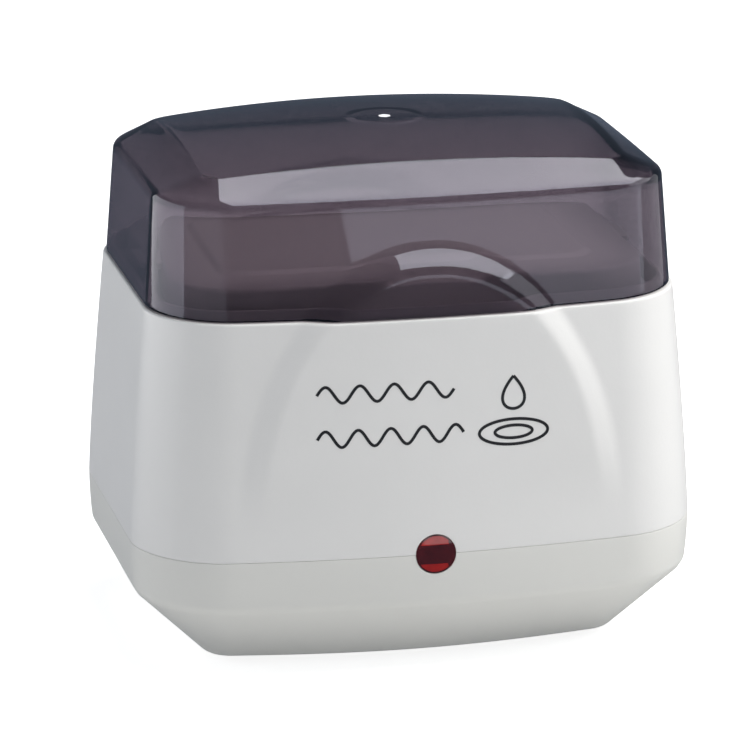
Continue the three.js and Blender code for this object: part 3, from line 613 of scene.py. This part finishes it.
def build_housing():
    bottom = Z_SEAM + SEAM_GAP
    outer_bottom = body_ring(bottom, SEAM_EDGE)
    rings = bend(outer_bottom, body_ring(bottom), body_ring(bottom + SEAM_EDGE), 3)
    rings += [body_ring(z) for z in levels(bottom + SEAM_EDGE, Z_LEDGE - LEDGE_ROUND)[1:]]
    ledge = body_ring(Z_LEDGE, LEDGE_ROUND)
    rings += bend(rings[-1], body_ring(Z_LEDGE), ledge, 5)[1:]
    lip_foot = body_ring(Z_LEDGE, LIP_INSET, cover=True)
    rings += bend(towards(lip_foot, ledge, 0.3), lip_foot, body_ring(Z_LEDGE + 0.3, LIP_INSET, cover=True), 3)
    lip_top = Z_LEDGE + LIP_HEIGHT
    lip_back = LIP_INSET + LIP_THICKNESS
    rings += bend(
        body_ring(lip_top - EDGE, LIP_INSET, cover=True),
        body_ring(lip_top, LIP_INSET, cover=True),
        body_ring(lip_top, LIP_INSET + EDGE, cover=True), 4)
    rings += bend(
        body_ring(lip_top, LIP_INSET + 1.0, cover=True),
        body_ring(lip_top, lip_back, cover=True),
        body_ring(lip_top - EDGE, lip_back, cover=True), 3)
    pocket_floor = Z_LEDGE - POCKET_DEPTH
    pocket_under = pocket_floor - POCKET_THICKNESS
    rings.append(body_ring(Z_LEDGE, lip_back, cover=True))
    rings.append(body_ring(Z_LEDGE, lip_back, cover=True, drawn_at=pocket_floor))
    rings.append(body_ring(Z_LEDGE, POCKET_INSET, drawn_at=pocket_floor))
    rings.append(body_ring(Z_LEDGE, POCKET_INSET, drawn_at=pocket_under))
    rings.append(body_ring(pocket_under, WALL))
    rings += [body_ring(z, WALL) for z in levels(pocket_under, bottom, 3.0)[1:]]
    shell = skin("housing_skin", rings)
    cut(shell, [lens_cutter()])
    shade_by_angle(shell)
    return finish_piece(shell, "white_body", "base", "housing")


# ------------------------------------------------------------------ smoked cover

SHOULDER_ROUND = 2.0
CREASE_ROUND = 0.7
DIMPLE_RADIUS = 11.5
DIMPLE_DEPTH = 0.12
GATE_RADIUS = 1.9


def crown(x, y, inset, dimple=True):
    """Height of the crowned top panel, with its round dimple and the moulding gate's mark."""
    depth = ROOF_B + ROOF_BOW
    z = Z_ROOF + CROWN_X * (1 - (x / ROOF_A) ** 2) + CROWN_Y * (1 - (y / depth) ** 2) - inset
    if dimple:
        rho = np.hypot(x, y)
        z = z - DIMPLE_DEPTH * smooth((DIMPLE_RADIUS - rho) / 3.0 + 0.5)
        z = z - 0.15 * smooth(1 - rho / GATE_RADIUS)
    return z


def roof_ring(share, inset, dimple=True):
    x, y = quarter(ROOF_A - inset, ROOF_B - inset, ROOF_R)
    y = y + ROOF_BOW * (1 - (x / ROOF_A) ** 2) * (y > 0)
    flat = mirrored(x * share, y * share)
    return np.column_stack([flat, crown(flat[:, 0], flat[:, 1], inset, dimple)])


def cover_rings(inset):
    """Rings of the cover's outer or inner surface, from above the rim to the middle of the roof."""
    step = LEVEL_STEP if inset == 0 else 2.0
    drop = inset * 0.6
    wall_top = Z_SHOULDER - SHOULDER_ROUND
    rings = [body_ring(z, inset, cover=True) for z in levels(Z_RIM + EDGE, wall_top - drop, step)]
    corner = body_ring(Z_SHOULDER, inset, cover=True, drawn_at=Z_SHOULDER - drop)
    edge = roof_ring(1.0, inset)
    bevel_start = towards(corner, edge, SHOULDER_ROUND)
    bevel_end = towards(edge, corner, CREASE_ROUND)
    rings += bend(rings[-1], corner, bevel_start, 6)[1:]
    rings += between(bevel_start, bevel_end, 8 if inset == 0 else 4)
    top_start = roof_ring(1 - CREASE_ROUND / ROOF_B, inset)
    rings += bend(bevel_end, edge, top_start, 4)
    if inset == 0:
        shares = np.concatenate([
            np.linspace(0.97, 0.32, 24), np.linspace(0.31, 0.035, 34), np.linspace(0.03, 0.002, 8)])
    else:
        shares = np.linspace(0.95, 0.02, 20)
    rings += [roof_ring(share, inset, dimple=inset == 0) for share in shares]
    return rings


def build_cover():
    outer = cover_rings(0.0)
    inner = cover_rings(WALL)
    rim = bend(
        body_ring(Z_RIM + EDGE, WALL, cover=True),
        body_ring(Z_RIM, WALL, cover=True),
        body_ring(Z_RIM, WALL - EDGE, cover=True), 3)
    rim += bend(
        body_ring(Z_RIM, EDGE, cover=True),
        body_ring(Z_RIM, 0.0, cover=True),
        body_ring(Z_RIM + EDGE, 0.0, cover=True), 4)
    rings = inner[::-1] + rim[1:-1] + outer
    cover = skin("cover_skin", rings, caps=True)
    finish_piece(cover, "smoked_cover", "cover", "cover")
    # The upward faces on the gate's mark get the whitish material: a painted glint on a real mark.
    cover.data.materials.append(GATE_PAINTED_GLINT)
    for face in cover.data.polygons:
        middle = face.center / MM
        on_gate = math.hypot(middle.x, middle.y) < GATE_RADIUS and middle.z > Z_ROOF + 1
        face.material_index = int(on_gate and face.normal.z > 0)
    return cover


# ------------------------------------------------------------------ well, tub and tub lid

WELL_TOP = np.array([70.5, 48.5])
WELL_FLOOR = np.array([66.0, 44.5])
WELL_R = 18.0
WELL_DEPTH = 87.3  # from the flange down to the underside of the floor
FLANGE_INSET = WALL + 2.2
THICK = 2.0


def disc(a, b, r, z, shares):
    """Rings of a flat floor, from its edge to its middle."""
    edge = rect_ring(a, b, r, z)
    return [mix(edge * [0, 0, 1], edge, share) for share in shares]


INWARDS = (0.8, 0.5, 0.25, 0.02)


def build_well_liner():
    floor = LINER_HIGH[2] - WELL_DEPTH
    under = LINER_HIGH[2] - THICK
    flange_edge = body_ring(Z_LEDGE + LIP_HEIGHT, FLANGE_INSET, cover=True, drawn_at=under)
    flange_top = body_ring(Z_LEDGE + LIP_HEIGHT, FLANGE_INSET, cover=True, drawn_at=under + THICK)
    top_a, top_b = WELL_TOP
    floor_a, floor_b = WELL_FLOOR
    rings = disc(floor_a, floor_b, WELL_R, floor, INWARDS[::-1])
    rings += rounded_path(
        [
            rings[-1],
            rect_ring(floor_a, floor_b, WELL_R, floor),
            rect_ring(top_a, top_b, WELL_R, under),
            flange_edge,
            flange_top,
            rect_ring(top_a - THICK, top_b - THICK, WELL_R - THICK, under + THICK),
            rect_ring(floor_a - THICK, floor_b - THICK, WELL_R - THICK, floor + THICK),
            disc(floor_a - THICK, floor_b - THICK, WELL_R - THICK, floor + THICK, [0.8])[0],
        ],
        [0, 3.0, 1.0, 0.4, 0.4, 2.5, 2.5, 0],
        5,
    )[1:]
    rings += disc(floor_a - THICK, floor_b - THICK, WELL_R - THICK, floor + THICK, INWARDS[1:])
    liner = skin("well_liner_skin", rings, caps=True)
    return finish_piece(liner, "well_white", "base", "well_liner")


TUB_TOP = np.array([66.0, 45.0])
TUB_FLOOR = np.array([62.0, 41.0])
TUB_R = 16.0
TUB_RIM = (73.5, 50.0, 22.0)


def build_tub():
    floor = TUB_LOW[2]
    rim = TUB_HIGH[2]
    top_a, top_b = TUB_TOP
    floor_a, floor_b = TUB_FLOOR
    in_a, in_b = floor_a - THICK, floor_b - THICK
    rings = disc(floor_a, floor_b, TUB_R, floor, INWARDS[::-1])
    rings += rounded_path(
        [
            rings[-1],
            rect_ring(floor_a, floor_b, TUB_R, floor),
            rect_ring(top_a, top_b, TUB_R, rim - 2),
            rect_ring(*TUB_RIM, rim - 2),
            rect_ring(*TUB_RIM, rim),
            rect_ring(top_a - THICK, top_b - THICK, TUB_R - THICK, rim),
            rect_ring(in_a, in_b, TUB_R - THICK, floor + THICK),
            disc(in_a, in_b, TUB_R - THICK, floor + THICK, [0.8])[0],
        ],
        [0, 4.0, 0.8, 0.9, 0.9, 1.2, 4.0, 0],
        5,
    )[1:]
    rings += disc(in_a, in_b, TUB_R - THICK, floor + THICK, INWARDS[1:])
    tub = skin("inner_tub_skin", rings, caps=True)
    return finish_piece(tub, "tub_white", "tub", "inner_tub")


LID = (76.0, 52.3, 24.0)
LID_STEP = 16.0
PANEL_RISE = 1.2
EARS = (LID[0] + 3.0, 9.0)
EAR_DROP = 1.0


def build_tub_lid():
    skirt = LID_LOW[2]
    top = LID_HIGH[2]
    deck = top - PANEL_RISE
    a, b, r = LID
    panel_a, panel_b, panel_r = a - LID_STEP, b - LID_STEP, r - LID_STEP
    rings = disc(panel_a - 4, panel_b - 4, panel_r - 1, top - THICK, INWARDS[::-1])
    rings += rounded_path(
        [
            rings[-1],
            rect_ring(panel_a - 4, panel_b - 4, panel_r - 1, top - THICK),
            rect_ring(panel_a - 2, panel_b - 2, panel_r, deck - THICK),
            rect_ring(a - 1.5, b - 1.5, r - 1.5, deck - THICK),
            rect_ring(a - 1.5, b - 1.5, r - 1.5, skirt),
            rect_ring(a, b, r, skirt),
            rect_ring(a - 0.4, b - 0.4, r, deck),
            rect_ring(panel_a, panel_b, panel_r, deck),
            rect_ring(panel_a - 2, panel_b - 2, panel_r, top),
            disc(panel_a - 2, panel_b - 2, panel_r, top, [0.9])[0],
        ],
        [0, 0.3, 0.3, 0.8, 0.3, 0.4, 1.8, 0.9, 0.9, 0],
        5,
    )[1:]
    rings += disc(panel_a - 2, panel_b - 2, panel_r, top, INWARDS)
    lid = skin("tub_lid_skin", rings, caps=True)
    ear_top = deck - EAR_DROP
    inner = LID[0] - 1.0
    reach = (EARS[0] - inner) / 2
    for side in (-1, 1):
        outline = rounded_path(
            [
                disc(reach, EARS[1], 1.5, ear_top - THICK, [0.1])[0],
                rect_ring(reach, EARS[1], 1.5, ear_top - THICK),
                rect_ring(reach, EARS[1], 1.5, ear_top),
                disc(reach, EARS[1], 1.5, ear_top, [0.1])[0],
            ],
            [0, 0.5, 0.5, 0],
            3,
        )
        shift = np.array([side * (inner + reach), 0, 0])
        cut(lid, [skin("ear", [ring + shift for ring in outline], caps=True)], "UNION")
    shade_by_angle(lid)
    return finish_piece(lid, "tub_white", "tub_lid", "tub_lid")


# ------------------------------------------------------------------ lens


LENS_WINDOW = 3.05  # half height of the flat window across the lens, whose dark colour is a painted reflection
LENS_FLANGE, LENS_FLANGE_THICKNESS = 8.0, 1.2
LENS_FACET = 0.5  # how far the facets above and below the window fall back


def lens_face(x, z):
    """y of the lens's front: nearly flat across the window, with a facet falling away above and below."""
    slope = np.maximum(np.abs(z) - LENS_WINDOW, 0) / (LENS_RADIUS - LENS_WINDOW)
    return LENS_LOW[1] + 0.3 * (x**2 + z**2) / LENS_RADIUS**2 + LENS_FACET * slope**1.3


def build_lens():
    """A round lens with a body and a flange behind it. Its front is built in rows from bottom to top."""
    window_rows = np.linspace(-LENS_WINDOW, LENS_WINDOW, 13)
    facet_rows = LENS_WINDOW + (LENS_RADIUS - LENS_WINDOW) * np.sin(np.linspace(0, math.pi / 2, 15))[1:]
    rows = np.concatenate([-facet_rows[::-1], window_rows, facet_rows])
    rows[0], rows[-1] = -LENS_RADIUS * 0.9995, LENS_RADIUS * 0.9995
    across = 41
    vertices = []
    for z in rows:
        half = math.sqrt(LENS_RADIUS**2 - z**2)
        for x in np.linspace(-half, half, across):
            vertices.append((x, float(lens_face(x, z)), z + Z_SEAM))
    faces = []
    # Faces across the window, round the rim and on the right side are marked for the near-black red: painted
    # reflection and painted shade.
    dark = []
    for row in range(len(rows) - 1):
        for k in range(across - 1):
            i = row * across + k
            x, _, z = np.mean([vertices[i], vertices[i + across + 1]], axis=0)
            in_window = abs(z - Z_SEAM) < LENS_WINDOW
            dark.append(in_window or math.hypot(x, z - Z_SEAM) > 0.93 * LENS_RADIUS or x > 0.62 * LENS_RADIUS)
            faces.append((i, i + 1, i + across + 1, i + across))
    last = (len(rows) - 1) * across
    right = [row * across + across - 1 for row in range(len(rows))]
    left = [row * across for row in range(len(rows))][::-1]
    outline = list(range(across)) + right[1:] + list(range(last + across - 2, last - 1, -1)) + left[1:-1]
    ring = outline
    flange = LENS_FLANGE / LENS_RADIUS
    flange_front = LENS_HIGH[1] - LENS_FLANGE_THICKNESS
    back = [(1.0, flange_front), (flange, flange_front), (flange, LENS_HIGH[1])]
    for share, y in back:
        start = len(vertices)
        for i in outline:
            x, _, z = vertices[i]
            radius = max(math.hypot(x, z - Z_SEAM), 1e-6)
            grow = LENS_RADIUS * share / radius
            vertices.append((x * grow, y, (z - Z_SEAM) * grow + Z_SEAM))
        here = list(range(start, start + len(outline)))
        for k in range(len(outline)):
            j = (k + 1) % len(outline)
            faces.append((ring[k], here[k], here[j], ring[j]))
            dark.append(False)
        ring = here
    vertices.append((0, LENS_HIGH[1], Z_SEAM))
    for k in range(len(ring)):
        faces.append((ring[k], len(vertices) - 1, ring[(k + 1) % len(ring)]))
        dark.append(False)
    lens = make_object("indicator_lens_skin", vertices, faces)
    finish_piece(lens, "red_lens", "base", "indicator_lens")
    lens.data.materials.append(LENS_PAINTED_REFLECTION_AND_SHADE)
    lens.data.polygons.foreach_set("material_index", [int(flag) for flag in dark])
    shade_by_angle(lens, 25)
    return lens


# ------------------------------------------------------------------ printed decoration

INK_WIDTH = 0.95
INK_THICKNESS = 0.05
INK_CLEAR = 0.015


def ribbon(name, points, width=INK_WIDTH):
    """A printed stroke that follows the front of the housing along (x, z) points."""
    points = np.array(points, float)
    tangent = np.gradient(points, axis=0)
    tangent /= np.maximum(np.linalg.norm(tangent, axis=1, keepdims=True), 1e-9)
    normal = np.stack([-tangent[:, 1], tangent[:, 0]], 1)
    vertices = []
    for (x, z), (nx, nz) in zip(points, normal):
        for side in (-0.5, 0.5):
            px, pz = x + nx * width * side, z + nz * width * side
            surface = front_surface(px, pz)
            vertices.append((px, surface - INK_CLEAR - INK_THICKNESS, pz))
            vertices.append((px, surface - INK_CLEAR, pz))
    faces = []
    for k in range(len(points) - 1):
        i, j = 4 * k, 4 * k + 4
        faces += [(i, i + 2, j + 2, j), (i + 1, j + 1, j + 3, i + 3)]
        faces += [(i, j, j + 1, i + 1), (i + 2, i + 3, j + 3, j + 2)]
    end = 4 * (len(points) - 1)
    faces += [(0, 1, 3, 2), (end, end + 2, end + 3, end + 1)]
    stroke = make_object(name, vertices, faces, smooth_shading=False)
    stroke.data.materials.append(INK)
    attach(stroke, "base")
    return stroke


def arc_points(cx, cz, rx, rz, start, end, steps=48):
    angles = np.radians(np.linspace(start, end, steps))
    return np.stack([cx + rx * np.cos(angles), cz + rz * np.sin(angles)], 1)


def wave_points(x0, x1, z, height, waves):
    x = np.linspace(x0, x1, int(waves * 22))
    return np.stack([x, z + height * np.sin((x - x0) / (x1 - x0) * waves * 2 * math.pi)], 1)


def build_print():
    """Two rows of waves and a drop over its ripples: a plain decoration with no lettering."""
    ribbon("print_wave_upper", wave_points(-37, 6, Z_BASE + 92, 2.6, 4))
    ribbon("print_wave_lower", wave_points(-37, 9, Z_BASE + 78, 2.6, 4.5))
    ribbon("print_ripple_outer", arc_points(25, Z_BASE + 77, 11, 4.0, 90, 450, 96))
    ribbon("print_ripple_inner", arc_points(25, Z_BASE + 77, 6, 2.0, 90, 450, 72))
    t = np.linspace(0, 2 * math.pi, 73)
    drop = np.stack([25 + 4.6 * np.sin(t) * np.sin(t / 2), Z_BASE + 89.5 + 5.2 * np.cos(t)], 1)
    ribbon("print_drop", drop)


# ------------------------------------------------------------------ small pieces


def build_foot(corner):
    low, high = box_mm(corner)
    middle = (low + high) / 2
    radius = (high[0] - low[0]) / 2
    top = high[2]
    groove = [(radius - 3.2, 0.0), (radius - 2.9, 0.35), (radius - 2.5, 0.35), (radius - 2.2, 0.0)]
    edge = [(radius - 1.6, 0.0), (radius - 0.7, 0.15), (radius - 0.2, 0.6), (radius, 1.2), (radius, top)]
    profile = [(0, 0.0), *groove, *edge, (0, top)]
    foot = turned(corner + "_skin", profile, np.array([middle[0], middle[1], 0]), 48, along="z")
    shade_by_angle(foot)
    return finish_piece(foot, "rubber", "base", corner)


def dress_cad_nodes(replaced):
    """Every CAD node that stays gets the procedural material of its slot."""
    for row in frame["record"]["subparts"]:
        name = row["node"]
        if name in replaced:
            continue
        node = frame["nodes"][name]
        node.data.materials.clear()
        node.data.materials.append(MATERIALS[row["material_slot"]])


build_base_shell()
build_housing()
build_cover()
build_well_liner()
build_tub()
build_tub_lid()
build_lens()
build_print()
FEET = [f"foot_{end}_{side}" for end in ("front", "rear") for side in ("left", "right")]
for foot_name in FEET:
    build_foot(foot_name)
dress_cad_nodes(
    {"base_shell", "housing", "cover", "well_liner", "inner_tub", "tub_lid", "indicator_lens", *FEET}
)

# ------------------------------------------------------------------ stage, light and camera


FLOOR_HALF = 6.0
FLOOR_BOUNCE, FLOOR_SEEN = 0.24, 0.75  # glow of the floor on the object, and as it is seen


def build_stage():
    """A pale floor that runs on past the view."""
    half = FLOOR_HALF
    corners = [(-half, -half, 0), (half, -half, 0), (half, half, 0), (-half, half, 0)]
    mesh = bpy.data.meshes.new("floor")
    mesh.from_pydata(corners, [], [(0, 1, 2, 3)])
    floor = bpy.data.objects.new("floor", mesh)
    bpy.context.scene.collection.objects.link(floor)
    material, nodes, links, shader = new_material("floor")
    shader.inputs["Base Color"].default_value = (0.62, 0.62, 0.615, 1)
    shader.inputs["Roughness"].default_value = 0.9
    shader.inputs["Specular IOR Level"].default_value = 0.1
    shader.inputs["Emission Color"].default_value = (1, 1, 1, 1)
    paths = nodes.new("ShaderNodeLightPath")
    seen = nodes.new("ShaderNodeMath")
    seen.operation = "MAXIMUM"
    links.new(paths.outputs["Is Camera Ray"], seen.inputs[0])
    links.new(paths.outputs["Is Transmission Ray"], seen.inputs[1])
    glow = remap(nodes, links, seen.outputs["Value"], FLOOR_BOUNCE, FLOOR_SEEN)
    links.new(glow, shader.inputs["Emission Strength"])
    mesh.materials.append(material)
    floor.visible_glossy = False
    world = bpy.data.worlds.new("studio")
    world.use_nodes = True
    world.node_tree.nodes["Background"].inputs["Color"].default_value = (0.6, 0.74, 1.0, 1)
    world.node_tree.nodes["Background"].inputs["Strength"].default_value = 0.15
    bpy.context.scene.world = world


def softbox(name, place, aim, size, power, color=(1, 1, 1)):
    """A rectangular softbox at a place, turned towards a point. Metres and watts."""
    light = bpy.data.lights.new(name, "AREA")
    light.shape = "RECTANGLE"
    light.size, light.size_y = size
    light.energy = power
    light.color = color
    lamp = bpy.data.objects.new(name, light)
    lamp.location = place
    lamp.rotation_euler = (Vector(aim) - Vector(place)).to_track_quat("-Z", "Y").to_euler()
    bpy.context.scene.collection.objects.link(lamp)
    return lamp


MIDDLE = (0, 0, 0.08)


KEY_LIGHT = (1.0, 0.985, 0.96)
WALL_LIGHT = (0.98, 0.985, 1.0)
LOW = 0.2  # height of the middle of the reflectors that stand on the floor


def build_lights():
    """A wide ceiling box over the right half, its side box, and low reflectors round the object."""
    ceiling = softbox("softbox_ceiling", (0.76, -0.1, 1.3), (0.76, -0.1, 0), (1.64, 1.3), 34, KEY_LIGHT)
    ceiling.rotation_euler = (0, 0, 0)
    softbox("softbox_side", (1.6, -0.2, 0.9), MIDDLE, (1.4, 0.75), 5.5, KEY_LIGHT)
    softbox("reflector_left_front", (-1.05, -0.9, LOW), MIDDLE, (1.5, 0.5), 0.9, WALL_LIGHT)
    softbox("reflector_left_back", (-0.74, 0.26, LOW), MIDDLE, (1.1, 0.5), 3.3, WALL_LIGHT)
    softbox("reflector_front", (1.05, -1.2, LOW), MIDDLE, (2.3, 0.5), 5.0, WALL_LIGHT)
    softbox("reflector_right", (0.8, 0.05, LOW), MIDDLE, (0.8, 0.5), 0.8, WALL_LIGHT)


CAMERA_AZIMUTH = -12.97
CAMERA_ELEVATION = 16.17
CAMERA_DISTANCE = 1.6
CAMERA_TARGET_Z = 0.0735
FOCAL_LENGTH = 238.9
SENSOR = 36.0
SHIFT_X, SHIFT_Y = -0.0125, 0.0211


def build_camera():
    camera = bpy.data.cameras.new("camera")
    camera.sensor_width = SENSOR
    camera.lens = FOCAL_LENGTH
    camera.shift_x = SHIFT_X
    camera.shift_y = SHIFT_Y
    camera.clip_end = 50
    obj = bpy.data.objects.new("camera", camera)
    azimuth, elevation = math.radians(CAMERA_AZIMUTH), math.radians(CAMERA_ELEVATION)
    level = CAMERA_DISTANCE * math.cos(elevation)
    target = Vector((0, 0, CAMERA_TARGET_Z))
    obj.location = target + Vector((
        level * math.sin(azimuth), -level * math.cos(azimuth), CAMERA_DISTANCE * math.sin(elevation)))
    obj.rotation_euler = (target - obj.location).to_track_quat("-Z", "Y").to_euler()
    bpy.context.scene.collection.objects.link(obj)
    bpy.context.scene.camera = obj


build_stage()
build_lights()
build_camera()
bpy.context.scene.view_settings.view_transform = "Standard"
